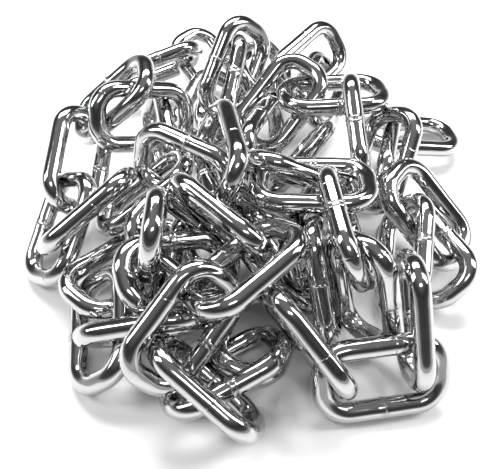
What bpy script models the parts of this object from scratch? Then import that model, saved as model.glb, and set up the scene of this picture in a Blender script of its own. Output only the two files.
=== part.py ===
"""Heap of steel chain: welded oval links thrown down in a loose pile, all in metres, Z up."""
import math

import bpy
import numpy as np
from mathutils import Matrix

# Driving dimensions of one link, metres
BAR = 0.010
LINK_LENGTH = 0.066
LINK_WIDTH = 0.041
BEND_RADIUS = 0.0125
WELD_PROUD = 0.0004
WELD_LENGTH = 0.004

# Air left between two links that touch, metres
AIR = 0.0005

# Facets of a link
BEND_STEPS = 3
BAR_FACETS = 8
FACET_SWELL = 1.03
BEND_SWELL = 0.98

# Where the photograph was taken from: lens in pixels, picture middle, eye height and downward tilt
LENS = 710.0
MIDDLE_X = 250.0
MIDDLE_Y = 234.5
EYE_HEIGHT = 0.302
EYE_TILT = math.radians(47.0)

# How the links are laid: points followed on each link, rounds of each stage, sinking per round
POINTS = 48
FITTING_ROUNDS = 400
SETTLING_ROUNDS = 400
SINKING = 0.0003

# Steel
STEEL_COLOUR = (0.56, 0.57, 0.58, 1.0)
STEEL_ROUGHNESS = 0.12

# Bars of a link, seen with its upper crown up
LEFT = "left"
RIGHT = "right"
EITHER = "either"

# Links as read off the photograph by eye, in pixels from the top left corner:
# name, upper crown (x, y, height), lower crown (x, y, height), turn of its face away from the
# viewer in degrees, points on the left bar, points on the right bar, the bar that has the weld
LINKS = [
    ("link_left_1", (82, 120, 0.050), (76, 211, 0.028), -25,
     [(62, 130), (54, 153), (51.5, 175), (54, 193), (62, 205)], [(102, 160), (98, 180)], RIGHT),
    ("link_left_2", (80, 188, 0.032), (46, 276, 0.006), -15,
     [(43, 215), (38, 231), (35, 249), (37, 266)], [(88, 200), (62, 270), (74, 256)], LEFT),
    ("link_left_3", (127, 176, 0.050), (48, 245, 0.018), 80,
     [(98, 200), (70, 225)], [(112, 197), (88, 219)], RIGHT),
    ("link_left_4", (184, 158, 0.048), (97, 225, 0.022), -60,
     [(118, 194)], [(183, 182), (165, 193), (150, 203), (138, 215), (128, 228), (113, 236)], LEFT),
    ("link_left_8", (150, 250, 0.030), (79, 290, 0.022), 0,
     [(82, 276), (88, 264), (98, 253)], [(83, 300), (92, 309), (104, 314), (114, 314)], RIGHT),
    ("link_left_9", (107, 277, 0.030), (100, 379, 0.006), -35,
     [(77, 320), (78, 333), (81, 345), (86, 362)],
     [(121, 290), (122, 310), (125, 355), (116, 371)], LEFT),
    ("link_left_10", (200, 315, 0.028), (98, 334, 0.020), 75,
     [(110, 326), (138, 322), (178, 318)], [(105, 338), (130, 338)], RIGHT),
    ("link_left_11", (210, 275, 0.025), (129, 290, 0.022), 0,
     [(131, 276)], [(134, 301), (147, 308)], LEFT),
    ("link_left_5", (144, 80, 0.060), (84, 132, 0.036), -60,
     [(130, 72), (115, 81), (100, 92)], [(141, 95), (126, 107), (110, 120)], LEFT),
    ("link_left_6", (187, 112, 0.058), (94, 115, 0.050), -20,
     [(108, 100), (160, 92), (173, 94), (183, 101)],
     [(98, 129), (106, 138), (120, 141), (135, 140), (148, 139)], LEFT),
    ("link_left_7", (160, 92, 0.030), (168, 178, 0.034), -74,
     [(147, 115)], [(163, 112)], LEFT),
    ("link_back_1", (195, 47, 0.062), (104, 79, 0.050), 70,
     [(122, 66), (138, 57), (154, 50), (170, 45)], [(154, 69), (168, 64)], LEFT),
    ("link_back_2", (195, 27, 0.022), (236, 90, 0.025), 25,
     [(178, 38), (188, 62), (197, 76)], [(208, 33), (215, 41), (230, 52), (238, 68)], RIGHT),
    ("link_back_3", (246, 32, 0.062), (222, 118, 0.040), 0,
     [(202, 95), (205, 80), (214, 60), (227, 40), (206, 107)],
     [(260, 46), (264, 60), (261, 75)], LEFT),
    ("link_back_4", (227, 46, 0.036), (224, 122, 0.058), -72,
     [], [(229, 80), (229, 100)], RIGHT),
    ("link_back_5", (288, 46, 0.034), (241, 74, 0.044), -40,
     [(270, 43)], [(247, 82), (257, 84)], LEFT),
    ("link_back_6", (336, 40, 0.040), (277, 98, 0.014), 0,
     [(300, 40), (285, 53), (271, 68), (318, 33)], [(342, 52), (337, 66)], RIGHT),
    ("link_back_7", (316, 49, 0.025), (305, 112, 0.022), 0,
     [(302, 58)], [(329, 60)], LEFT),
    ("link_back_8", (309, 69, 0.060), (249, 146, 0.032), 0,
     [(243, 118), (251, 102), (262, 86), (276, 73), (292, 66)],
     [(319, 85), (315, 98), (298, 121), (284, 136), (270, 150)], RIGHT),
    ("link_back_9", (274, 102, 0.045), (240, 158, 0.055), 85,
     [(262, 118), (252, 136)], [], LEFT),
    ("link_back_10", (378, 93, 0.042), (277, 97, 0.044), -54,
     [(350, 78), (335, 79)], [(292, 112), (310, 112), (336, 109), (368, 104)], RIGHT),
    ("link_right_1", (351, 86, 0.062), (368, 190, 0.024), -85,
     [(355, 110), (361, 140), (364, 165)], [], RIGHT),
    ("link_right_2", (396, 113, 0.050), (368, 200, 0.026), 0,
     [(378, 119)], [(405, 116), (413, 127), (414, 140), (411, 153), (405, 164)], LEFT),
    ("link_right_3", (388, 134, 0.026), (376, 205, 0.024), 80,
     [(386, 150), (381, 170)], [], RIGHT),
    ("link_right_4", (449, 139, 0.006), (366, 131, 0.008), -50,
     [(430, 124), (443, 130)], [(430, 149), (442, 147)], LEFT),
    ("link_right_5", (395, 176, 0.045), (452, 250, 0.022), 0,
     [(386, 195), (392, 210), (401, 224), (408, 234)],
     [(411, 171), (421, 178), (432, 191), (445, 206), (457, 222), (464, 234)], LEFT),
    ("link_right_6", (410, 207, 0.034), (402, 300, 0.015), -50,
     [(390, 240)], [(424, 216), (426, 230), (425, 250), (421, 268)], RIGHT),
    ("link_right_7", (402, 222, 0.020), (456, 293, 0.006), -15,
     [(440, 298), (430, 296)], [(437, 222), (447, 237), (457, 249), (466, 263), (467, 275)], RIGHT),
    ("link_right_8", (368, 248, 0.058), (361, 348, 0.007), -50,
     [(350, 300), (349, 325)], [(382, 258), (388, 272), (388, 300), (384, 316), (378, 335)], RIGHT),
    ("link_right_9", (322, 238, 0.040), (338, 340, 0.010), 50,
     [(312, 255), (312, 274), (314, 292), (321, 312)], [], LEFT),
    ("link_top_1", (333, 182, 0.070), (359, 278, 0.054), -75,
     [(345, 268)], [(335, 200), (337, 214), (344, 240), (354, 262)], RIGHT),
    ("link_top_2", (366, 188, 0.045), (256, 184, 0.048), -45,
     [(290, 163), (315, 164), (335, 166), (350, 169), (362, 177)],
     [(258, 192), (265, 198), (278, 204), (299, 206), (320, 207), (345, 206), (360, 200)], LEFT),
    ("link_top_3", (342, 190, 0.045), (252, 157, 0.068), 75,
     [(270, 160), (290, 170)], [(285, 176), (305, 186)], RIGHT),
    ("link_top_4", (220, 120, 0.076), (214, 194, 0.060), -57,
     [(209, 131), (197, 168)], [(230, 128), (235, 145), (237, 165), (236, 182)], LEFT),
    ("link_top_5", (226, 198, 0.042), (146, 146, 0.050), 0,
     [(152, 139), (165, 134), (180, 138), (195, 147), (210, 157), (222, 165)],
     [(141, 160), (143, 170), (151, 182), (158, 189)], LEFT),
    ("link_top_6", (228, 278, 0.020), (146, 213, 0.042), 0,
     [(152, 209), (165, 204), (180, 205), (195, 213), (208, 225), (222, 238)],
     [(139, 238), (165, 266), (175, 275)], LEFT),
    ("link_left_12", (153, 231, 0.062), (150, 282, 0.012), 85,
     [(149, 250), (149, 265)], [], LEFT),
    ("link_top_7", (197, 181, 0.066), (268, 258, 0.056), -65,
     [(213, 217), (230, 236)], [(212, 197), (232, 216), (255, 238)], LEFT),
    ("link_front_1", (287, 238, 0.055), (198, 305, 0.042), -50,
     [(268, 231), (258, 234), (236, 250), (222, 260)],
     [(213, 314), (226, 310), (240, 299), (256, 284), (272, 268), (285, 253)], LEFT),
    ("link_front_2", (217, 279, 0.040), (147, 378, 0.008), 30,
     [(190, 276), (178, 287), (157, 313), (145, 328), (136, 345), (140, 370)],
     [(226, 290), (210, 333), (204, 346), (197, 362), (160, 385), (172, 386)], RIGHT),
    ("link_front_3", (165, 342, 0.028), (243, 424, 0.008), 65,
     [(185, 377), (208, 401), (228, 420)], [(252, 411)], RIGHT),
    ("link_front_4", (292, 342, 0.012), (180, 396, 0.008), -50,
     [(228, 349), (243, 341)], [(213, 397), (242, 381), (272, 363), (190, 411)], RIGHT),
    ("link_front_5", (263, 291, 0.042), (349, 384, 0.007), 85,
     [(285, 315), (310, 342), (330, 365)], [], RIGHT),
    ("link_front_6", (434, 374, 0.008), (322, 386, 0.008), -33,
     [(345, 354), (360, 350), (380, 347), (396, 345)],
     [(333, 404), (345, 410), (360, 410), (390, 408), (413, 403), (429, 390)], RIGHT),
    ("link_front_7", (408, 266, 0.048), (417, 371, 0.006), -72,
     [(402, 300), (403, 325)], [(418, 300), (424, 330), (427, 355)], LEFT),
    ("link_inside_1", (226, 184, 0.048), (283, 242, 0.044), 88,
     [(240, 200), (260, 220)], [], LEFT),
    ("link_inside_2", (296, 299, 0.026), (232, 232, 0.026), -20,
     [(287, 278)], [(290, 310)], LEFT),
    ("link_inside_3", (336, 116, 0.038), (302, 162, 0.030), 85,
     [(322, 136)], [], RIGHT),
    ("link_inside_4", (322, 205, 0.036), (279, 262, 0.030), 85,
     [(303, 228)], [], RIGHT),
    ("link_inside_5", (163, 222, 0.030), (188, 282, 0.010), -50,
     [], [(182, 250)], LEFT),
    ("link_inside_6", (202, 236, 0.030), (196, 300, 0.012), 80,
     [], [], RIGHT),
    ("link_inside_7", (262, 300, 0.014), (238, 350, 0.006), 20,
     [], [], RIGHT),
    ("link_inside_8", (226, 84, 0.024), (198, 130, 0.016), 20,
     [], [], RIGHT),
]

# Where one link runs through the eye of another: outer link, threaded link, place in the picture
THREADED = [
    ("link_left_5", "link_left_1", 88, 122), ("link_left_5", "link_left_6", 126, 94),
    ("link_left_7", "link_left_6", 160, 139), ("link_left_3", "link_left_2", 80, 222),
    ("link_top_7", "link_top_4", 211, 193), ("link_right_3", "link_right_4", 384, 142),
    ("link_front_1", "link_top_7", 262, 250), ("link_front_1", "link_front_2", 218, 282),
    ("link_front_3", "link_front_2", 182, 382), ("link_front_3", "link_front_4", 225, 395),
    ("link_top_1", "link_top_2", 337, 207), ("link_top_3", "link_top_2", 285, 165),
    ("link_top_1", "link_right_8", 350, 252), ("link_front_5", "link_front_6", 332, 362),
    ("link_front_7", "link_front_6", 414, 347), ("link_right_1", "link_back_10", 354, 108),
    ("link_back_9", "link_back_8", 250, 143), ("link_right_7", "link_right_5", 452, 248),
    ("link_right_3", "link_right_2", 374, 196), ("link_left_9", "link_left_8", 100, 312),
    ("link_left_10", "link_left_9", 121, 332), ("link_left_12", "link_top_6", 150, 250),
    ("link_left_12", "link_left_11", 145, 262), ("link_back_1", "link_back_2", 183, 52),
]

# Crossings at one place: upper link and bar, lower link and bar, place in the picture
CROSSINGS = [
    ("link_back_5", RIGHT, "link_back_3", EITHER, 257, 83),
    ("link_back_3", EITHER, "link_back_5", LEFT, 264, 50),
    ("link_back_4", RIGHT, "link_back_3", EITHER, 222, 116),
    ("link_back_3", EITHER, "link_back_4", LEFT, 212, 116),
    ("link_back_3", LEFT, "link_back_4", EITHER, 222, 50),
    ("link_top_4", RIGHT, "link_top_5", EITHER, 232, 170),
    ("link_top_5", LEFT, "link_top_4", LEFT, 200, 150),
    ("link_left_2", RIGHT, "link_left_1", EITHER, 80, 208),
    ("link_left_1", EITHER, "link_left_2", LEFT, 52, 203),
    ("link_left_6", EITHER, "link_left_5", RIGHT, 97, 127),
    ("link_left_6", EITHER, "link_left_7", EITHER, 160, 93),
    ("link_left_4", RIGHT, "link_top_5", EITHER, 158, 191),
    ("link_top_5", EITHER, "link_left_4", LEFT, 142, 175),
    ("link_back_10", RIGHT, "link_back_8", EITHER, 303, 112),
    ("link_back_8", EITHER, "link_back_10", LEFT, 318, 80),
    ("link_right_5", LEFT, "link_right_6", EITHER, 400, 212),
    ("link_right_6", RIGHT, "link_right_5", EITHER, 425, 243),
]

# Links that hang in each other besides the threaded ones
HOOKED = [
    ("link_back_5", "link_back_3"), ("link_back_4", "link_back_3"), ("link_top_4", "link_top_5"),
    ("link_back_6", "link_back_7"), ("link_left_2", "link_left_1"), ("link_left_4", "link_top_5"),
    ("link_back_10", "link_back_8"), ("link_right_5", "link_right_6"),
]

# Links that only lean on each other
RESTING = [
    ("link_right_1", "link_top_2"), ("link_back_9", "link_inside_1"),
    ("link_back_2", "link_inside_8"), ("link_inside_3", "link_back_7"),
    ("link_inside_3", "link_inside_1"),
]

# Pairs of which the first lies over the second wherever they cross
OVER = [
    ("link_front_6", "link_right_8"), ("link_top_7", "link_inside_6"),
    ("link_top_6", "link_inside_6"), ("link_front_1", "link_inside_6"),
    ("link_front_5", "link_inside_7"), ("link_front_1", "link_inside_7"),
    ("link_back_3", "link_inside_8"), ("link_back_4", "link_inside_8"),
    ("link_top_4", "link_inside_8"), ("link_back_10", "link_back_9"),
    ("link_back_7", "link_back_5"), ("link_top_7", "link_left_11"),
    ("link_front_1", "link_left_11"), ("link_left_3", "link_left_4"),
    ("link_front_5", "link_inside_2"), ("link_inside_4", "link_inside_2"),
    ("link_inside_2", "link_top_6"), ("link_left_5", "link_back_1"), ("link_back_3", "link_back_2"),
    ("link_back_4", "link_back_2"), ("link_back_5", "link_back_2"), ("link_back_8", "link_back_5"),
    ("link_back_8", "link_back_6"), ("link_back_8", "link_back_7"), ("link_back_10", "link_back_6"),
    ("link_back_10", "link_back_7"), ("link_back_6", "link_back_5"), ("link_back_8", "link_back_3"),
    ("link_top_4", "link_back_3"), ("link_top_4", "link_back_4"), ("link_top_7", "link_top_5"),
    ("link_top_7", "link_top_6"), ("link_top_7", "link_inside_1"), ("link_top_4", "link_inside_1"),
    ("link_front_1", "link_inside_1"), ("link_top_2", "link_inside_1"),
    ("link_top_4", "link_top_3"), ("link_top_4", "link_back_8"), ("link_top_4", "link_back_9"),
    ("link_top_3", "link_back_8"), ("link_top_3", "link_back_9"), ("link_top_2", "link_inside_3"),
    ("link_back_10", "link_inside_3"), ("link_right_1", "link_inside_3"),
    ("link_top_2", "link_right_1"), ("link_top_5", "link_left_6"), ("link_top_5", "link_left_7"),
    ("link_top_5", "link_left_3"), ("link_left_6", "link_left_1"), ("link_left_3", "link_left_1"),
    ("link_top_6", "link_left_4"), ("link_left_3", "link_left_8"), ("link_left_4", "link_left_8"),
    ("link_top_6", "link_left_8"), ("link_left_12", "link_left_8"),
    ("link_front_2", "link_left_11"), ("link_front_2", "link_left_10"),
    ("link_front_2", "link_top_6"), ("link_front_2", "link_inside_5"),
    ("link_left_11", "link_left_9"), ("link_left_10", "link_left_11"),
    ("link_front_1", "link_left_10"), ("link_front_1", "link_inside_2"),
    ("link_front_1", "link_front_5"), ("link_front_1", "link_top_6"),
    ("link_front_5", "link_front_4"), ("link_front_2", "link_front_4"),
    ("link_front_7", "link_right_6"), ("link_front_7", "link_right_7"),
    ("link_top_1", "link_right_9"), ("link_right_8", "link_right_9"),
    ("link_right_5", "link_right_2"), ("link_top_2", "link_right_2"),
    ("link_right_1", "link_right_2"), ("link_right_1", "link_right_4"),
    ("link_right_2", "link_right_4"), ("link_right_5", "link_right_3"),
    ("link_right_6", "link_right_7"), ("link_top_2", "link_inside_4"),
    ("link_front_1", "link_inside_4"), ("link_top_6", "link_inside_5"),
    ("link_left_12", "link_inside_5"), ("link_top_5", "link_inside_1"),
    ("link_back_1", "link_left_7"), ("link_top_5", "link_inside_5"),
    ("link_top_7", "link_inside_5"), ("link_top_3", "link_inside_3"), ("link_top_2", "link_back_8"),
    ("link_top_1", "link_inside_4"), ("link_front_5", "link_right_9"),
    ("link_right_9", "link_inside_4"), ("link_front_5", "link_inside_4"),
    ("link_top_7", "link_inside_4"), ("link_top_2", "link_right_3"),
    ("link_right_1", "link_right_3"), ("link_left_11", "link_top_6"),
    ("link_left_10", "link_top_6"),
]

NAMES = [row[0] for row in LINKS]
NUMBER = {name: index for index, name in enumerate(NAMES)}
LEFT_POINTS = np.arange(0, POINTS // 2 + 1)
RIGHT_POINTS = np.append(np.arange(POINTS // 2, POINTS), 0)
BAR_POINTS = {LEFT: LEFT_POINTS, RIGHT: RIGHT_POINTS, EITHER: np.arange(POINTS)}

# The viewer's eye and the directions of the picture
FORWARD = np.array([0.0, math.cos(EYE_TILT), -math.sin(EYE_TILT)])
ACROSS = np.array([1.0, 0.0, 0.0])
UPWARD = np.array([0.0, math.sin(EYE_TILT), math.cos(EYE_TILT)])
EYE = np.array([0.0, -EYE_HEIGHT / math.tan(EYE_TILT), EYE_HEIGHT])


def outline(count):
    """Bar centre line of a flat link, from the upper crown round by the left bar."""
    half_length = (LINK_LENGTH - BAR) / 2
    half_width = (LINK_WIDTH - BAR) / 2
    corners = [(1, 1, 0), (-1, 1, 90), (-1, -1, 180), (1, -1, 270)]
    path = [(half_length, 0.0)]
    for side_x, side_y, start in corners:
        for angle in np.radians(np.linspace(start, start + 90, 90)):
            x = side_x * (half_length - BEND_RADIUS) + BEND_RADIUS * math.cos(angle)
            y = side_y * (half_width - BEND_RADIUS) + BEND_RADIUS * math.sin(angle)
            path.append((x, y))
    path.append((half_length, 0.0))
    path = np.array(path)
    run = np.append(0.0, np.cumsum(np.linalg.norm(np.diff(path, axis=0), axis=1)))
    stops = np.arange(count) / count * run[-1]
    x = np.interp(stops, run, path[:, 0])
    y = np.interp(stops, run, path[:, 1])
    return np.stack([x, y, np.zeros(count)], axis=1)


FLAT_LINK = outline(POINTS)
QUARTERS = [0, POINTS // 4, POINTS // 2, 3 * POINTS // 4]


def sight_line(x, y):
    """Direction from the eye through one place in the picture."""
    line = FORWARD + ACROSS * (x - MIDDLE_X) / LENS - UPWARD * (y - MIDDLE_Y) / LENS
    return line / np.linalg.norm(line)


def seen_at(x, y, height):
    """Point on a sight line at a height above the floor."""
    line = sight_line(x, y)
    return EYE + line * (height - EYE[2]) / line[2]


def in_picture(points):
    """Pixel x, pixel y and depth of points in space."""
    from_eye = points - EYE
    depth = from_eye @ FORWARD
    x = MIDDLE_X + LENS * (from_eye @ ACROSS) / depth
    y = MIDDLE_Y - LENS * (from_eye @ UPWARD) / depth
    return np.stack([x, y, depth], axis=-1)


def first_places():
    """Centre and turn of every link straight from its two crowns and the turn of its face."""
    centres = []
    turns = []
    for name, upper, lower, face, left, right, weld in LINKS:
        top = seen_at(*upper)
        bottom = seen_at(*lower)
        centre = (top + bottom) / 2
        along = (top - bottom) / np.linalg.norm(top - bottom)
        to_eye = EYE - centre
        to_eye = to_eye - along * (to_eye @ along)
        to_eye = to_eye / np.linalg.norm(to_eye)
        angle = math.radians(face)
        normal = math.cos(angle) * to_eye + math.sin(angle) * np.cross(along, to_eye)
        centres.append(centre)
        turns.append(np.stack([along, np.cross(normal, along), normal], axis=1))
    return np.array(centres), np.array(turns)


def in_space(centres, turns):
    """All followed points of all links."""
    return centres[:, None, :] + np.einsum("nij,mj->nmi", turns, FLAT_LINK)


def moved(centres, turns, pulls, inertia=0.5):
    """Links after one rigid move each towards its weighted goals."""
    links = np.concatenate([pull[0] for pull in pulls])
    local = np.concatenate([pull[1] for pull in pulls])
    goals = np.concatenate([pull[2] for pull in pulls])
    weights = np.concatenate([pull[3] for pull in pulls])
    points = in_space(centres, turns)
    total = np.full(len(centres), inertia)
    mean_local = np.zeros((len(centres), 3))
    mean_goal = points.mean(axis=1) * inertia
    spread = inertia * np.einsum("nmi,mj->nij", points, FLAT_LINK) / POINTS
    np.add.at(total, links, weights)
    np.add.at(mean_local, links, weights[:, None] * local)
    np.add.at(mean_goal, links, weights[:, None] * goals)
    np.add.at(spread, links, weights[:, None, None] * goals[:, :, None] * local[:, None, :])
    mean_local = mean_local / total[:, None]
    mean_goal = mean_goal / total[:, None]
    spread = spread - total[:, None, None] * mean_goal[:, :, None] * mean_local[:, None, :]
    first, _, last = np.linalg.svd(spread)
    first[:, :, 2] *= np.linalg.det(first @ last)[:, None]
    new_turns = first @ last
    return mean_goal - np.einsum("nij,nj->ni", new_turns, mean_local), new_turns


def sight_readings():
    """Every reading as link, bar and sight line."""
    readings = []
    for index, (name, upper, lower, face, left, right, weld) in enumerate(LINKS):
        readings.append((index, "upper", sight_line(upper[0], upper[1])))
        readings.append((index, "lower", sight_line(lower[0], lower[1])))
        readings += [(index, LEFT, sight_line(*place)) for place in left]
        readings += [(index, RIGHT, sight_line(*place)) for place in right]
    return readings


def sight_pulls(centres, turns, readings, crown_weight, bar_weight):
    """Draw each link under the places where it was read in the picture."""
    allowed = {"upper": [0], "lower": [POINTS // 2], LEFT: LEFT_POINTS[1:-1], RIGHT: RIGHT_POINTS[1:-1]}
    points = in_space(centres, turns)
    links = np.array([reading[0] for reading in readings])
    lines = np.array([reading[2] for reading in readings])
    is_crown = np.array([reading[1] in ("upper", "lower") for reading in readings])
    barred = np.full((len(readings), POINTS), np.inf)
    for row, reading in enumerate(readings):
        barred[row, allowed[reading[1]]] = 0.0
    from_eye = points[links] - EYE
    reach = np.einsum("kmi,ki->km", from_eye, lines)
    off_line = from_eye - reach[:, :, None] * lines[:, None, :]
    nearest = np.argmin(np.linalg.norm(off_line, axis=2) + barred, axis=1)
    rows = np.arange(len(readings))
    point = points[links, nearest]
    miss = off_line[rows, nearest]
    tangent = points[links, (nearest + 1) % POINTS] - points[links, nearest - 1]
    tangent = tangent - np.einsum("ki,ki->k", tangent, lines)[:, None] * lines
    tangent = tangent / np.maximum(np.linalg.norm(tangent, axis=1), 1e-9)[:, None]
    slide = np.einsum("ki,ki->k", miss, tangent)[:, None] * tangent
    miss = np.where(is_crown[:, None], miss, miss - 0.9 * slide)
    weights = np.where(is_crown, crown_weight, bar_weight)
    return links, FLAT_LINK[nearest], point - miss, weights


def height_pulls(centres, turns, heights, weight):
    """Draw the crowns, and less so the bars, along their sight lines to the heights read."""
    pulls = []
    points = in_space(centres, turns)
    for column, station in enumerate(QUARTERS):
        place = points[:, station]
        line = place - EYE
        goal = place + line * ((heights[:, column] - place[:, 2]) / line[:, 2])[:, None]
        local = np.repeat(FLAT_LINK[station][None], len(LINKS), axis=0)
        share = 1.0 if station in (0, POINTS // 2) else 0.3
        pulls.append((np.arange(len(LINKS)), local, goal, np.full(len(LINKS), share * weight)))
    return pulls


def weight_pulls(centres, turns, links, step, weight):
    """Let some links sink a little at four places each, as their own weight makes them do."""
    pulls = []
    points = in_space(centres, turns)
    for station in QUARTERS:
        goal = points[links, station] - np.array([0.0, 0.0, step])
        local = np.repeat(FLAT_LINK[station][None], len(links), axis=0)
        pulls.append((links, local, goal, np.full(len(links), weight)))
    return pulls


def floor_pulls(centres, turns, weight):
    """Lift every point that has sunk into the floor."""
    points = in_space(centres, turns)
    links, stations = np.where(points[:, :, 2] < BAR / 2)
    goals = points[links, stations]
    goals[:, 2] = BAR / 2
    return links, FLAT_LINK[stations], goals, np.full(len(links), weight)


def crossings_read():
    """All readings of what lies over what, as link, bar, link, bar and place or None."""
    orders = []
    for outer, threaded, x, y in THREADED:
        turned_left = LINKS[NUMBER[outer]][3] < 0
        near, far = (RIGHT, LEFT) if turned_left else (LEFT, RIGHT)
        orders.append((NUMBER[outer], near, NUMBER[threaded], EITHER, (x, y)))
        orders.append((NUMBER[threaded], EITHER, NUMBER[outer], far, (x, y)))
    for upper, upper_bar, lower, lower_bar, x, y in CROSSINGS:
        orders.append((NUMBER[upper], upper_bar, NUMBER[lower], lower_bar, (x, y)))
    for upper, lower in OVER:
        orders.append((NUMBER[upper], EITHER, NUMBER[lower], EITHER, None))
    return orders


def meeting_points(upper, lower, place):
    """Followed points at which two links cross in the picture."""
    apart = np.hypot(upper[:, None, 0] - lower[None, :, 0], upper[:, None, 1] - lower[None, :, 1])
    if place is None:
        least = apart < 7.0
        for axis in (0, 1):
            for step in (1, -1):
                least &= apart <= np.roll(apart, step, axis)
        return list(zip(*np.where(least)))
    off_x = (upper[:, None, 0] + lower[None, :, 0]) / 2 - place[0]
    off_y = (upper[:, None, 1] + lower[None, :, 1]) / 2 - place[1]
    best = np.unravel_index(np.argmin(apart + 0.35 * np.hypot(off_x, off_y)), apart.shape)
    return [best] if apart[best] < 14.0 else []


def order_pulls(centres, turns, orders, weight):
    """Push crossing links along the sight line until the upper one is clear of the lower one."""
    needed = BAR + AIR
    links, local, goals, wrong = [], [], [], set()
    points = in_space(centres, turns)
    picture = in_picture(points)
    for first, first_bar, second, second_bar, place in orders:
        first_points = BAR_POINTS[first_bar]
        second_points = BAR_POINTS[second_bar]
        upper = picture[first, first_points]
        lower = picture[second, second_points]
        for i, j in meeting_points(upper, lower, place):
            gap = lower[j, 2] - upper[i, 2]
            if gap > 0.9 * needed:
                continue
            if gap < 0.6 * needed:
                wrong.add((min(first, second), max(first, second)))
            over = points[first, first_points[i]]
            under = points[second, second_points[j]]
            line = (over + under) / 2 - EYE
            push = line / np.linalg.norm(line) * min((needed - gap) / 2, 0.6 * BAR)
            links += [first, second]
            local += [FLAT_LINK[first_points[i]], FLAT_LINK[second_points[j]]]
            goals += [over - push, under + push]
    if not links:
        return [], wrong
    pull = (np.array(links), np.array(local), np.array(goals), np.full(len(links), weight))
    return [pull], wrong


def weld_stations():
    """How far each followed point of each link stands proud because of the weld."""
    proud = np.zeros((len(LINKS), POINTS))
    for index, row in enumerate(LINKS):
        middle = POINTS // 4 if row[6] == LEFT else 3 * POINTS // 4
        proud[index, middle - 1:middle + 2] = WELD_PROUD
    return proud


def contact_pulls(centres, turns, weight, left_alone):
    """Push apart every two links that come closer than one bar and a little air."""
    proud = weld_stations()
    reach = BAR + AIR
    points = in_space(centres, turns)
    tangents = np.roll(points, -1, axis=1) - np.roll(points, 1, axis=1)
    tangents = tangents / np.linalg.norm(tangents, axis=2)[:, :, None]
    spacing = 0.6 * np.linalg.norm(FLAT_LINK[1] - FLAT_LINK[0])
    between = np.linalg.norm(centres[:, None] - centres[None], axis=2)
    firsts, seconds = np.where(np.triu(between < LINK_LENGTH + AIR, 1))
    pulls = []
    deepest = 0.0
    for first, second in zip(firsts, seconds):
        if (first, second) in left_alone:
            continue
        offset = points[first][:, None] - points[second][None]
        apart = np.sqrt(np.einsum("abi,abi->ab", offset, offset))
        least = apart < reach + 0.1 * BAR
        if not least.any():
            continue
        for axis in (0, 1):
            for step in (1, -1):
                least &= apart <= np.roll(apart, step, axis)
        for i, j in zip(*np.where(least)):
            a, b = points[first, i], points[second, j]
            along_a, along_b = tangents[first, i], tangents[second, j]
            cosine = along_a @ along_b
            skew = 1.0 - cosine * cosine
            if skew > 0.05:
                move_a = (cosine * (along_b @ (a - b)) - along_a @ (a - b)) / skew
                move_b = (along_b @ (a - b) - cosine * (along_a @ (a - b))) / skew
                a = a + along_a * min(max(move_a, -spacing), spacing)
                b = b + along_b * min(max(move_b, -spacing), spacing)
            distance = max(np.linalg.norm(a - b), 1e-9)
            short = reach + proud[first, i] + proud[second, j] - distance
            if short <= 0.0:
                continue
            deepest = max(deepest, short)
            push = (a - b) / distance * short / 2
            local_a = turns[first].T @ (a - centres[first])
            local_b = turns[second].T @ (b - centres[second])
            pulls.append((first, local_a, a + push))
            pulls.append((second, local_b, b - push))
    if not pulls:
        return [], deepest
    links = np.array([pull[0] for pull in pulls])
    local = np.array([pull[1] for pull in pulls])
    goals = np.array([pull[2] for pull in pulls])
    return [(links, local, goals, np.full(len(pulls), weight))], deepest


def touching_pulls(centres, turns, pairs, weight):
    """Draw links that hang in or rest on each other together until their bars touch."""
    pulls = []
    points = in_space(centres, turns)
    for first, second in [(NUMBER[pair[0]], NUMBER[pair[1]]) for pair in pairs]:
        offset = points[first][:, None] - points[second][None]
        apart = np.linalg.norm(offset, axis=2)
        i, j = np.unravel_index(apart.argmin(), apart.shape)
        slack = apart[i, j] - BAR - AIR
        if slack > AIR:
            push = offset[i, j] / apart[i, j] * slack / 2
            goals = np.array([points[first, i] - push, points[second, j] + push])
            pair = np.array([first, second])
            pulls.append((pair, FLAT_LINK[[i, j]], goals, np.full(2, weight)))
    return pulls


def fitted(centres, turns, heights):
    """Lay the links under their readings while the wrong crossings are still being sorted."""
    readings = sight_readings()
    orders = crossings_read()
    for turn in range(FITTING_ROUNDS):
        done = turn / FITTING_ROUNDS
        hardness = 0.3 + 3.0 * min(1.0, 2 * done)
        pulls = [sight_pulls(centres, turns, readings, 0.5, 1.0)]
        pulls += height_pulls(centres, turns, heights, 0.05)
        sorting, wrong = order_pulls(centres, turns, orders, 1.0 if done < 0.7 else 0.6)
        pulls += sorting
        contacts, _ = contact_pulls(centres, turns, hardness, wrong if done < 0.6 else set())
        pulls += contacts
        pulls.append(floor_pulls(centres, turns, 0.5 * hardness))
        pulls += touching_pulls(centres, turns, THREADED + HOOKED, 0.3)
        centres, turns = moved(centres, turns, pulls)
    return centres, turns


def settled(centres, turns, heights):
    """Let the links come to rest on each other and on the floor with no bar in another."""
    readings = sight_readings()
    everything = np.arange(len(LINKS))
    for turn in range(SETTLING_ROUNDS):
        hold = max(0.0, 0.6 * (1.0 - 1.15 * turn / SETTLING_ROUNDS))
        contacts, _ = contact_pulls(centres, turns, 3.0, set())
        floor = floor_pulls(centres, turns, 2.0)
        held = np.concatenate([floor[0]] + [pull[0] for pull in contacts])
        free = np.setdiff1d(everything, held)
        pulls = [sight_pulls(centres, turns, readings, 0.5 * hold, hold), floor]
        pulls += contacts
        pulls += weight_pulls(centres, turns, everything, SINKING, 0.5 * hold)
        pulls += weight_pulls(centres, turns, free, SINKING, 0.5)
        pulls += height_pulls(centres, turns, heights, 0.05 * hold)
        pulls += touching_pulls(centres, turns, THREADED + HOOKED + RESTING, 0.1)
        centres, turns = moved(centres, turns, pulls, inertia=0.2)
    return centres, turns


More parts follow.
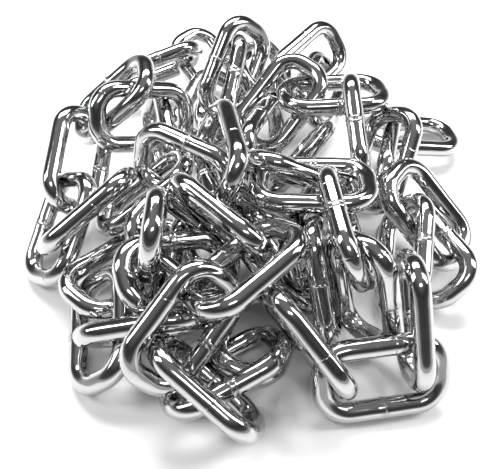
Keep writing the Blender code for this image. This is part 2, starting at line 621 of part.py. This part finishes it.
def link_path(weld):
    """Points of the bar's centre line with the bar's swelling at each, weld collar included."""
    half_length = (LINK_LENGTH - BAR) / 2
    half_width = (LINK_WIDTH - BAR) / 2
    weld_side = 1 if weld == LEFT else -1
    proud = FACET_SWELL + 2 * WELD_PROUD / BAR
    path = []
    for side_x, side_y, start in [(1, 1, 0), (-1, 1, 90), (-1, -1, 180), (1, -1, 270)]:
        for step in range(BEND_STEPS + 1):
            angle = math.radians(start + 90 * step / BEND_STEPS)
            x = side_x * (half_length - BEND_RADIUS) + BEND_RADIUS * math.cos(angle)
            y = side_y * (half_width - BEND_RADIUS) + BEND_RADIUS * math.sin(angle)
            in_bend = 0 < step < BEND_STEPS
            path.append((x, y, BEND_SWELL if in_bend else FACET_SWELL))
        if side_y == weld_side and side_x == side_y:
            for place in (0.8, 0.5, -0.5, -0.8):
                swell = proud if abs(place) == 0.5 else FACET_SWELL
                path.append((side_x * place * WELD_LENGTH, side_y * half_width, swell))
    return path


def steel(name):
    """Bright plated steel for one link."""
    material = bpy.data.materials.new("bright steel " + name)
    material.use_nodes = True
    shader = material.node_tree.nodes["Principled BSDF"]
    shader.inputs["Base Color"].default_value = STEEL_COLOUR
    shader.inputs["Metallic"].default_value = 1.0
    shader.inputs["Roughness"].default_value = STEEL_ROUGHNESS
    return material


def chain_link(name, weld, centre, turn, base, heap):
    """One welded link: a round bar bent to a long ring and closed by a collar in one long side."""
    curve = bpy.data.curves.new(name, "CURVE")
    curve.dimensions = "3D"
    curve.bevel_depth = BAR / 2
    curve.bevel_resolution = BAR_FACETS // 2 - 2
    spline = curve.splines.new("POLY")
    path = link_path(weld)
    spline.points.add(len(path) - 1)
    for point, (x, y, swell) in zip(spline.points, path):
        point.co = (x, y, 0.0, 1.0)
        point.radius = swell
    spline.use_cyclic_u = True
    curve.materials.append(steel(name))
    link = bpy.data.objects.new(name, curve)
    link.location = centre
    link.rotation_mode = "QUATERNION"
    link.rotation_quaternion = Matrix(turn.tolist()).to_quaternion()
    link.parent = base
    heap.objects.link(link)
    return link


def stand_on_floor(links, base):
    """Bring the middle of the whole heap's footprint to the origin and its underside to zero."""
    bpy.context.view_layer.update()
    depsgraph = bpy.context.evaluated_depsgraph_get()
    corners = []
    for link in links:
        solid = link.evaluated_get(depsgraph)
        corners += [link.matrix_world @ vertex.co for vertex in solid.to_mesh().vertices]
        solid.to_mesh_clear()
    corners = np.array(corners)
    low = corners.min(axis=0)
    high = corners.max(axis=0)
    base.location = (-(low[0] + high[0]) / 2, -(low[1] + high[1]) / 2, -low[2])


def build():
    """Clear the file and make the whole heap."""
    for old in list(bpy.data.objects):
        bpy.data.objects.remove(old)
    heap = bpy.data.collections.new("heap of steel chain")
    bpy.context.scene.collection.children.link(heap)
    base = bpy.data.objects.new("heap on the floor", None)
    heap.objects.link(base)
    centres, turns = first_places()
    heights = in_space(centres, turns)[:, QUARTERS, 2]
    centres, turns = fitted(centres, turns, heights)
    centres, turns = settled(centres, turns, heights)
    links = []
    for row, centre, turn in zip(LINKS, centres, turns):
        links.append(chain_link(row[0], row[6], centre, turn, base, heap))
    stand_on_floor(links, base)


build()
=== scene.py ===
import math

import bpy
import numpy as np
from mathutils import Matrix, Vector


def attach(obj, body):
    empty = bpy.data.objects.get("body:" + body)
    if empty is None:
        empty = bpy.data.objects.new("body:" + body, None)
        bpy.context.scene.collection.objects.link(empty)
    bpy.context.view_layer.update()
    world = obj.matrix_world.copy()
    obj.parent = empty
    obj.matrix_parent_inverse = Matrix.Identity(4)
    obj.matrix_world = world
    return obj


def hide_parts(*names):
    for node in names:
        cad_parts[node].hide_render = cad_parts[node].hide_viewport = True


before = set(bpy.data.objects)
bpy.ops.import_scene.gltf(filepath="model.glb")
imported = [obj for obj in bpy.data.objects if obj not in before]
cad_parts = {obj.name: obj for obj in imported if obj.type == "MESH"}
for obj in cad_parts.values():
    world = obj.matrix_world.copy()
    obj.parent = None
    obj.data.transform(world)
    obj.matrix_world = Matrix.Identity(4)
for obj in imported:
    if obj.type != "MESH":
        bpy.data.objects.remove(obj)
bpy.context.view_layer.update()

# The bar
# The chain is made from round steel wire rod 10 mm thick. The rod comes off a die, so its
# skin runs in faint long waves. Each link takes one cut length, bent to a long ring.
BAR_RADIUS = 0.005
LINK_HALF_LENGTH = 0.028
LINK_HALF_WIDTH = 0.0155
BEND_RADIUS = 0.0125
BEND_RUN = BEND_RADIUS * math.pi / 2
SIDE_RUN = 2 * (LINK_HALF_LENGTH - BEND_RADIUS)
END_RUN = 2 * (LINK_HALF_WIDTH - BEND_RADIUS)
BAR_RUN = 4 * BEND_RUN + 2 * SIDE_RUN + 2 * END_RUN
SKIN_SWING = 0.000045
SKIN_WAVES = ((1, 3), (2, 5), (3, 9), (1, 14), (2, 21))


def bar_line(run):
    """Place, heading and share of bending of the bar's middle, at a run along it from the weld."""
    x, y, heading = 0.0, LINK_HALF_WIDTH, 0.0
    bent = 0.0
    legs = [(SIDE_RUN / 2, False), (BEND_RUN, True), (END_RUN, False), (BEND_RUN, True),
            (SIDE_RUN, False), (BEND_RUN, True), (END_RUN, False), (BEND_RUN, True),
            (SIDE_RUN / 2, False)]
    left = run % BAR_RUN
    for length, curved in legs:
        step = min(left, length)
        if curved:
            after = heading - step / BEND_RADIUS
            x += BEND_RADIUS * (math.sin(heading) - math.sin(after))
            y += BEND_RADIUS * (math.cos(after) - math.cos(heading))
            heading = after
            bent = math.sin(math.pi * step / length)
        else:
            x += step * math.cos(heading)
            y += step * math.sin(heading)
            bent = 0.0
        left -= step
        if left <= 0.0:
            break
    return x, y, heading, bent


def drawn_waves(dice, run, around):
    """Long shallow waves of the drawn skin, as a height over the round bar."""
    height = np.zeros_like(run)
    for lobes, waves in SKIN_WAVES:
        phase = dice.uniform(0.0, 2 * math.pi)
        twist = dice.uniform(0.0, 2 * math.pi)
        swing = SKIN_SWING / math.sqrt(waves)
        along = np.sin(2 * math.pi * waves * run / BAR_RUN + phase)
        height += swing * along * np.cos(lobes * around + twist)
    return height


# The weld
# The two ends of each bar meet in the middle of one long side and are pressed and welded
# together by current. The trimmed joint stands a little proud, as a collar with thin rings,
# a ragged single ridge, or a step where the ends met unevenly.
COLLAR_RISE = 0.00010
COLLAR_HALF_LENGTH = 0.0024
RAGGED_SHARE = 0.16
RING_RISE = 0.00028
RING_AWAY = 0.00115
RING_WIDTH = 0.00026
RIDGE_RISE = 0.00034
RIDGE_WIDTH = 0.00030
RIDGE_WANDER = 0.00022
STEP_RISE = 0.00012
STEP_WIDTH = 0.00022
STEP_FADE = 0.003
STEP_SIDE = 0.8
LIP_RISE = 0.00022
LIP_AWAY = 0.0004
LIP_WIDTH = 0.00028


def weld_height(kind, dice, run, around):
    """Height of the joint over the bar, at a run from its middle."""
    collar = COLLAR_RISE * np.exp(-(run / COLLAR_HALF_LENGTH) ** 4)
    ragged = np.ones_like(around)
    for lobes in (2, 3, 5, 8):
        ragged += RAGGED_SHARE * np.sin(lobes * around + dice.uniform(0.0, 2 * math.pi))
    if kind == "rings":
        ring = np.exp(-((np.abs(run) - RING_AWAY) / RING_WIDTH) ** 2)
        return collar + RING_RISE * ring * (0.7 + 0.3 * ragged)
    if kind == "ridge":
        wander = RIDGE_WANDER * np.sin(2 * around + dice.uniform(0.0, 2 * math.pi))
        return collar + RIDGE_RISE * ragged * np.exp(-((run - wander) / RIDGE_WIDTH) ** 2)
    step = STEP_RISE * np.tanh(run / STEP_WIDTH) * np.exp(-(run / STEP_FADE) ** 2)
    lip = LIP_RISE * np.exp(-((run + LIP_AWAY) / LIP_WIDTH) ** 2)
    return collar + step * np.cos(around - STEP_SIDE) + lip * ragged


# The bends
# The bar is folded round a former, so it is a little flat and wide in each bend, and the
# former's edge has left a hair-thin cross line there on many links.
BEND_FLAT = 0.00010
BEND_INNER_FLAT = 0.00012
BEND_SPREAD = 0.00007
LINE_DEPTH = 0.00013
LINE_WIDTH = 0.00020


def bend_shape(height, bent, around):
    """Height with the bar flattened in the plane of the link and spread across it."""
    inward = np.clip(-np.cos(around), 0.0, 1.0)
    flat = BEND_FLAT * np.cos(around) ** 2 + BEND_INNER_FLAT * inward ** 4
    return height - bent * (flat - BEND_SPREAD * np.sin(around) ** 2)


def former_line(run, place, around, facing):
    """Hair-thin groove across part of the bar."""
    gap = (run - place + BAR_RUN / 2) % BAR_RUN - BAR_RUN / 2
    patch = np.clip(0.35 + 0.9 * np.cos(around - facing), 0.0, 1.0)
    return -LINE_DEPTH * patch * np.exp(-(gap / LINE_WIDTH) ** 2)


# One closed link
# Rings of points follow the bent bar: close together at the weld and at the former lines,
# wider apart along the plain bar. Each point keeps its place on the straight bar as well,
# so that the finish can follow the bar round the bends.
SIDES = 32
PLAIN_STEP = 0.0018
PLAIN_CLEAR = 0.6 * PLAIN_STEP
FINE_STEP = 0.00022
WELD_REACH = 0.0042
LINE_REACH = 0.0009
LINE_SHIFT = 0.018
LINE_TURN = 1.2
SEAT_LENGTH = 0.007
FIRST_SEED = 4100


def stations(lines):
    """Runs along the bar at which it gets a ring of points."""
    runs = list(np.arange(-WELD_REACH, WELD_REACH, FINE_STEP) % BAR_RUN)
    for place in lines:
        runs += list((place + np.arange(-LINE_REACH, LINE_REACH, FINE_STEP)) % BAR_RUN)
    fine = np.array(runs)
    for run in np.arange(0.0, BAR_RUN, PLAIN_STEP):
        away = np.abs((fine - run + BAR_RUN / 2) % BAR_RUN - BAR_RUN / 2)
        if away.min() > PLAIN_CLEAR:
            runs.append(run)
    return np.sort(np.array(runs))


def store(mesh, name, kind, field, values):
    """Keeps one value for each point of the mesh, for the finish to read."""
    mesh.attributes.new(name, kind, "POINT").data.foreach_set(field, values.ravel())


def link_mesh(name, weld, number):
    """The closed link in its own frame: long in x, wide in y, its weld on the +y side."""
    dice = np.random.default_rng(FIRST_SEED + number)
    bends = np.array([0.5, 2.5, 4.5, 6.5])[dice.permutation(4)[:2]]
    lines = [(SIDE_RUN / 2 + bend * BEND_RUN + (bend - 0.5) / 2 * LINE_SHIFT) % BAR_RUN
             for bend in bends]
    facing = dice.uniform(-LINE_TURN, LINE_TURN, 2)
    runs = stations(lines)
    angles = np.arange(SIDES) * 2 * math.pi / SIDES
    run = np.repeat(runs, SIDES)
    around = np.tile(angles, len(runs))
    middle = np.array([bar_line(place) for place in runs])
    x, y, heading, bent = (np.repeat(column, SIDES) for column in middle.T)
    from_weld = (run + BAR_RUN / 2) % BAR_RUN - BAR_RUN / 2
    height = drawn_waves(dice, run, around)
    height = bend_shape(height, bent, around)
    height += weld_height(weld, dice, from_weld, around)
    for place, side in zip(lines, facing):
        height += former_line(run, place, around, side)
    radius = BAR_RADIUS + height
    out = radius * np.cos(around)
    points = np.stack([x - out * np.sin(heading), y + out * np.cos(heading),
                       radius * np.sin(around)], axis=1)
    corner = np.arange(len(runs))[:, None] * SIDES + np.arange(SIDES)[None, :]
    beside = np.roll(corner, -1, axis=1)
    faces = np.stack([corner, np.roll(corner, -1, axis=0), np.roll(beside, -1, axis=0), beside],
                     axis=2)
    mesh = bpy.data.meshes.new(name)
    mesh.from_pydata(points.tolist(), [], faces.reshape(-1, 4).tolist())
    mesh.polygons.foreach_set("use_smooth", [True] * len(mesh.polygons))
    straight = np.stack([run + number, BAR_RADIUS * np.cos(around), BAR_RADIUS * np.sin(around)],
                        axis=1)
    store(mesh, "straight_bar", "FLOAT_VECTOR", "vector", straight)
    store(mesh, "from_weld", "FLOAT", "value", np.abs(from_weld))
    crown = np.exp(-((np.abs(x) - LINK_HALF_LENGTH) / SEAT_LENGTH) ** 2)
    store(mesh, "seat", "FLOAT", "value", crown * np.clip(-np.cos(around), 0.0, 1.0) ** 2)
    mesh.update()
    return mesh


# The bright finish
# The links are polished and plated bright. The plating is a clean mirror with fine drawing
# lines along the bar, duller and a little darker round the weld, and rubbed where one link
# seats in the next.
DARK_PLATE = (0.43, 0.435, 0.44)
PALE_PLATE = (0.53, 0.53, 0.53)
WELD_TINT = (0.30, 0.295, 0.29, 1.0)
WELD_TINT_SHARE = 0.45
WELD_DULL_FROM = 0.0035
WELD_DULL_FULL = 0.0008
PLAIN_ROUGHNESS = 0.05
DRAWN_ROUGHNESS = 0.06
WELD_ROUGHNESS = 0.12
SEAT_ROUGHNESS = 0.10
CLOUD_ROUGHNESS = 0.03
EVEN = (1.0, 1.0, 1.0)
ALONG_THE_BAR = (0.06, 1.0, 1.0)


def bright_steel(name, tone_and_painted_shade):
    """Plated steel finish, a little lighter or darker from one side of the heap to the next; the
    darker tone given to the links inside the heap is painted shade.
    """
    material = bpy.data.materials.new(name)
    material.use_nodes = True
    nodes = material.node_tree.nodes
    wires = material.node_tree.links
    shader = nodes["Principled BSDF"]
    shader.inputs["Metallic"].default_value = 1.0

    def node(kind, **settings):
        made = nodes.new(kind)
        for key, value in settings.items():
            setattr(made, key, value)
        return made

    def math_node(work, first, second):
        made = node("ShaderNodeMath", operation=work)
        for socket, value in zip(made.inputs, (first, second)):
            if isinstance(value, float):
                socket.default_value = value
            else:
                wires.new(value, socket)
        return made.outputs[0]

    def noise(stretch, scale, detail):
        mapping = node("ShaderNodeMapping")
        mapping.inputs["Scale"].default_value = stretch
        wires.new(bar.outputs["Vector"], mapping.inputs["Vector"])
        made = node("ShaderNodeTexNoise")
        made.inputs["Scale"].default_value = scale
        made.inputs["Detail"].default_value = detail
        wires.new(mapping.outputs[0], made.inputs["Vector"])
        return made.outputs["Fac"]

    def bump(height, strength, depth):
        made = node("ShaderNodeBump")
        made.inputs["Strength"].default_value = strength
        made.inputs["Distance"].default_value = depth
        wires.new(height, made.inputs["Height"])
        return made

    bar = node("ShaderNodeAttribute", attribute_name="straight_bar")
    weld = node("ShaderNodeAttribute", attribute_name="from_weld")
    seat = node("ShaderNodeAttribute", attribute_name="seat")
    near_weld = node("ShaderNodeMapRange", interpolation_type="SMOOTHSTEP")
    near_weld.inputs["From Min"].default_value = WELD_DULL_FROM
    near_weld.inputs["From Max"].default_value = WELD_DULL_FULL
    wires.new(weld.outputs["Fac"], near_weld.inputs["Value"])
    clouds = noise(EVEN, 120.0, 3.0)
    drawn = noise(ALONG_THE_BAR, 2600.0, 4.0)
    specks = noise(EVEN, 900.0, 6.0)

    colour = node("ShaderNodeMix", data_type="RGBA")
    colour.inputs["A"].default_value = (*(part * tone_and_painted_shade for part in DARK_PLATE), 1.0)
    colour.inputs["B"].default_value = (*(part * tone_and_painted_shade for part in PALE_PLATE), 1.0)
    wires.new(clouds, colour.inputs["Factor"])
    welded = node("ShaderNodeMix", data_type="RGBA")
    weld_share = math_node("MULTIPLY", near_weld.outputs[0], WELD_TINT_SHARE)
    wires.new(weld_share, welded.inputs["Factor"])
    wires.new(colour.outputs["Result"], welded.inputs["A"])
    welded.inputs["B"].default_value = WELD_TINT
    wires.new(welded.outputs["Result"], shader.inputs["Base Color"])

    rough = math_node("MULTIPLY", drawn, DRAWN_ROUGHNESS)
    rough = math_node("ADD", rough, PLAIN_ROUGHNESS)
    for place, share in ((near_weld.outputs[0], WELD_ROUGHNESS),
                         (seat.outputs["Fac"], SEAT_ROUGHNESS),
                         (clouds, CLOUD_ROUGHNESS)):
        rough = math_node("ADD", rough, math_node("MULTIPLY", place, share))
    wires.new(rough, shader.inputs["Roughness"])

    skin = bump(drawn, 0.25, 0.00004)
    pits = bump(specks, 0.35, 0.00003)
    wires.new(skin.outputs["Normal"], pits.inputs["Normal"])
    wires.new(pits.outputs["Normal"], shader.inputs["Normal"])
    return material


# Laying a link in the heap
# Each link lies where the solid link of the same place and number lies, so the heap keeps its
# shape and its hooking. Its long and wide ways are read off that solid, where the weld's extra
# corners draw the mean of all corners to the weld's side.
SOLID_BAR_RADIUS = 0.00515


def lie_of(node):
    """Place and turn of the solid link, with its weld on the +y side."""
    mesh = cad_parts[node].data
    corners = np.zeros(len(mesh.vertices) * 3)
    mesh.vertices.foreach_get("co", corners)
    corners = corners.reshape(-1, 3)
    mean = corners.mean(axis=0)
    ways = np.linalg.eigh(np.cov((corners - mean).T))[1]
    long_way, wide_way = ways[:, 2], ways[:, 1]
    along = (corners - mean) @ long_way
    across = (corners - mean) @ wide_way
    if across.max() > -across.min():
        wide_way = -wide_way
        across = -across
    through_way = np.cross(long_way, wide_way)
    through = (corners - mean) @ through_way
    middle = across.min() + SOLID_BAR_RADIUS + LINK_HALF_WIDTH
    centre = mean + long_way * (along.max() + along.min()) / 2
    centre = centre + wide_way * middle + through_way * (through.max() + through.min()) / 2
    turn = Matrix(np.stack([long_way, wide_way, through_way], axis=1).tolist()).to_4x4()
    return Matrix.Translation(Vector(centre.tolist())) @ turn


def lay_link(node, weld, number, finish):
    """Makes one link and lays it in its place in the heap."""
    mesh = link_mesh(node, weld, number)
    mesh.transform(lie_of(node))
    mesh.materials.append(finish)
    link = bpy.data.objects.new(node.replace("link", "chain"), mesh)
    bpy.context.scene.collection.objects.link(link)
    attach(link, "root")
    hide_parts(node)


# Left of the heap
# Twelve links of welded steel come down the left side in short hooked runs, and end close to
# the floor at the front left.
left_finish = bright_steel("plated_left", 1.0)
left_welds = ["rings", "ridge", "step", "rings", "ridge", "rings", "step", "ridge", "rings",
              "ridge", "rings", "ridge"]
for number, weld in enumerate(left_welds, 1):
    lay_link("link_left_%d" % number, weld, number, left_finish)

# Back of the heap
# Ten links of the same steel stand and lie across the far side, some of them leaning over
# steeply.
back_finish = bright_steel("plated_back", 0.97)
back_welds = ["ridge", "rings", "ridge", "rings", "step", "ridge", "rings", "ridge", "step",
              "rings"]
for number, weld in enumerate(back_welds, 1):
    lay_link("link_back_%d" % number, weld, 20 + number, back_finish)

# Right of the heap
# Nine links of the same steel come down the right side. One of them lies out to the side,
# close to the floor.
right_finish = bright_steel("plated_right", 1.02)
right_welds = ["rings", "ridge", "step", "ridge", "rings", "ridge", "rings", "step", "ridge"]
for number, weld in enumerate(right_welds, 1):
    lay_link("link_right_%d" % number, weld, 40 + number, right_finish)

# Top of the heap
# Seven links of the same steel lie over each other on the crown of the heap, where the
# light falls on them from above.
top_finish = bright_steel("plated_top", 1.0)
top_welds = ["rings", "rings", "ridge", "rings", "ridge", "step", "rings"]
for number, weld in enumerate(top_welds, 1):
    lay_link("link_top_%d" % number, weld, 60 + number, top_finish)

# Front of the heap
# Seven links of the same steel run down the near side to the floor. One of them lies open
# at the front right.
front_finish = bright_steel("plated_front", 0.98)
front_welds = ["ridge", "rings", "ridge", "rings", "step", "ridge", "rings"]
for number, weld in enumerate(front_welds, 1):
    lay_link("link_front_%d" % number, weld, 80 + number, front_finish)

# Inside the heap
# Eight links of the same steel fill the middle. They show only as dark bars between the
# others, and their plate is painted a tenth darker as the shade inside the heap.
inside_painted_shade_finish = bright_steel("plated_inside_painted_shade", 0.9)
inside_welds = ["rings", "ridge", "rings", "step", "ridge", "rings", "ridge", "rings"]
for number, weld in enumerate(inside_welds, 1):
    lay_link("link_inside_%d" % number, weld, 100 + number, inside_painted_shade_finish)

# The floor
# A plain white sheet of paper under the heap. It is wide, so that its edge is far off in
# every view.
FLOOR_REACH = 6.0
floor_mesh = bpy.data.meshes.new("floor")
floor_mesh.from_pydata([(-FLOOR_REACH, -FLOOR_REACH, 0.0), (FLOOR_REACH, -FLOOR_REACH, 0.0),
                        (FLOOR_REACH, FLOOR_REACH, 0.0), (-FLOOR_REACH, FLOOR_REACH, 0.0)],
                       [], [(0, 1, 2, 3)])
floor = bpy.data.objects.new("floor", floor_mesh)
bpy.context.scene.collection.objects.link(floor)
paper = bpy.data.materials.new("white_paper")
paper.use_nodes = True
paper_shader = paper.node_tree.nodes["Principled BSDF"]
paper_shader.inputs["Base Color"].default_value = (0.9, 0.9, 0.9, 1.0)
paper_shader.inputs["Roughness"].default_value = 0.6
floor_mesh.materials.append(paper)

# The light
# Soft white boxes stand over and beside the heap, and the rest of the room is dim, which
# gives the bright bars their white and black bands. The room is pale near the floor, dark
# half way up and grey overhead.
ROOM_SHADES = ((0.0, 0.70), (0.08, 0.70), (0.20, 0.12), (0.50, 0.05), (0.76, 0.16), (0.97, 0.30))


def soft_box(name, place, size, power):
    """A rectangular light that faces the heap."""
    lamp = bpy.data.lights.new(name, "AREA")
    lamp.shape = "RECTANGLE"
    lamp.size, lamp.size_y = size
    lamp.energy = power
    box = bpy.data.objects.new(name, lamp)
    box.location = place
    box.rotation_euler = (-Vector(place)).to_track_quat("-Z", "Y").to_euler()
    bpy.context.scene.collection.objects.link(box)


soft_box("over_heap", (-0.05, 0.62, 1.05), (1.1, 0.34), 26.0)
soft_box("right_side", (1.0, 0.05, 0.85), (0.30, 0.9), 11.0)
soft_box("left_side", (-1.0, -0.05, 0.85), (0.30, 0.8), 9.0)
soft_box("near_high", (0.15, -0.75, 1.25), (0.5, 0.16), 3.0)

room = bpy.data.worlds.new("room")
room.use_nodes = True
bpy.context.scene.world = room
nodes = room.node_tree.nodes
wires = room.node_tree.links
way = nodes.new("ShaderNodeTexCoord")
parts = nodes.new("ShaderNodeSeparateXYZ")
wires.new(way.outputs["Generated"], parts.inputs[0])
shade = nodes.new("ShaderNodeValToRGB")
for number, (height, white) in enumerate(ROOM_SHADES):
    if number > 1:
        shade.color_ramp.elements.new(height)
    shade.color_ramp.elements[number].position = height
    shade.color_ramp.elements[number].color = (white, white, white, 1.0)
wires.new(parts.outputs["Z"], shade.inputs[0])
wires.new(shade.outputs[0], nodes["Background"].inputs["Color"])
nodes["Background"].inputs["Strength"].default_value = 1.0

# The camera
# The heap is seen from the front and above, from near by, so that its near links are
# clearly larger than its far ones.
SENSOR_WIDTH = 36.0
PICTURE_WIDTH_PIXELS = 500
LENS_PIXELS = 710
EYE = (-0.005385, -0.291458, 0.302545)
EYE_TILT = math.radians(43.0)
camera_data = bpy.data.cameras.new("camera")
camera_data.sensor_width = SENSOR_WIDTH
camera_data.lens = LENS_PIXELS / PICTURE_WIDTH_PIXELS * SENSOR_WIDTH
camera_data.clip_start = 0.01
camera = bpy.data.objects.new("camera", camera_data)
camera.location = EYE
camera.rotation_euler = (EYE_TILT, 0.0, 0.0)
bpy.context.scene.collection.objects.link(camera)
bpy.context.scene.camera = camera
bpy.context.scene.view_settings.view_transform = "Standard"
